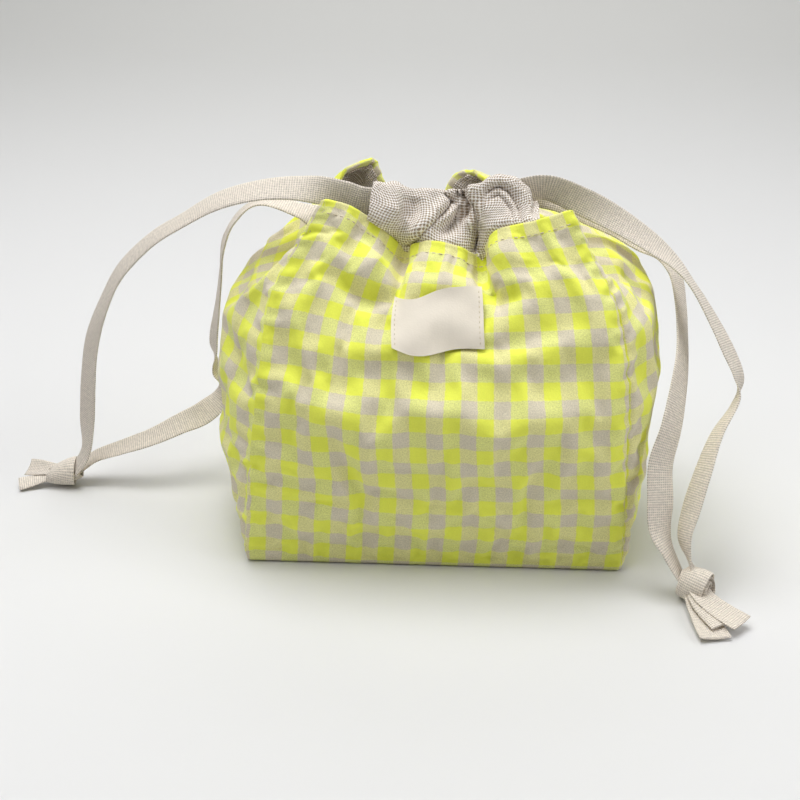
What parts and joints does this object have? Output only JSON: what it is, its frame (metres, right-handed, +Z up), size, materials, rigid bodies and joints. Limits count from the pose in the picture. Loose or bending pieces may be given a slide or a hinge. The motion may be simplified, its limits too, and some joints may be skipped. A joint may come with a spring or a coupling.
{
  "type": "drawstring project bag",
  "caption": "Boxed, lined cloth project bag with a checked outer, linen drawstring casings, knotted flat tapes and a plain sewn label, standing with its mouth drawn shut.",
  "frame": {"origin": "middle of the base's underside, on the table", "axes": "+X to the right as seen from the front, +Y from front to back, +Z up"},
  "size_m": [0.4539, 0.2228, 0.2229],
  "materials": {
    "gingham_cotton": "woven cotton check, matt",
    "lining_linen": "dotted linen weave, matt",
    "cotton_tape": "woven tape, matt",
    "faux_leather": "smooth, low sheen"
  },
  "bodies": {
    "bag": {"outer_front_panel": "gingham_cotton", "outer_right_gusset": "gingham_cotton", "outer_back_panel": "gingham_cotton", "outer_left_gusset": "gingham_cotton", "outer_base_panel": "gingham_cotton", "lining_front_panel": "lining_linen", "lining_right_gusset": "lining_linen", "lining_back_panel": "lining_linen", "lining_left_gusset": "lining_linen", "lining_base_panel": "lining_linen", "front_casing": "lining_linen", "back_casing": "lining_linen", "label": "faux_leather"},
    "left_drawstring": {"left_drawstring_loop": "cotton_tape", "left_drawstring_front_leg": "cotton_tape", "left_drawstring_back_leg": "cotton_tape", "left_drawstring_knot": "cotton_tape"},
    "right_drawstring": {"right_drawstring_loop": "cotton_tape", "right_drawstring_front_leg": "cotton_tape", "right_drawstring_back_leg": "cotton_tape", "right_drawstring_knot": "cotton_tape"}
  },
  "joints": [
    {"name": "left_drawstring_pull", "type": "slide", "parent": "bag", "child": "left_drawstring", "axis": [-1, 0, 0], "range_m": [-0.005, 0.005]},
    {"name": "right_drawstring_pull", "type": "slide", "parent": "bag", "child": "right_drawstring", "axis": [1, 0, 0], "range_m": [-0.005, 0.005]}
  ]
}
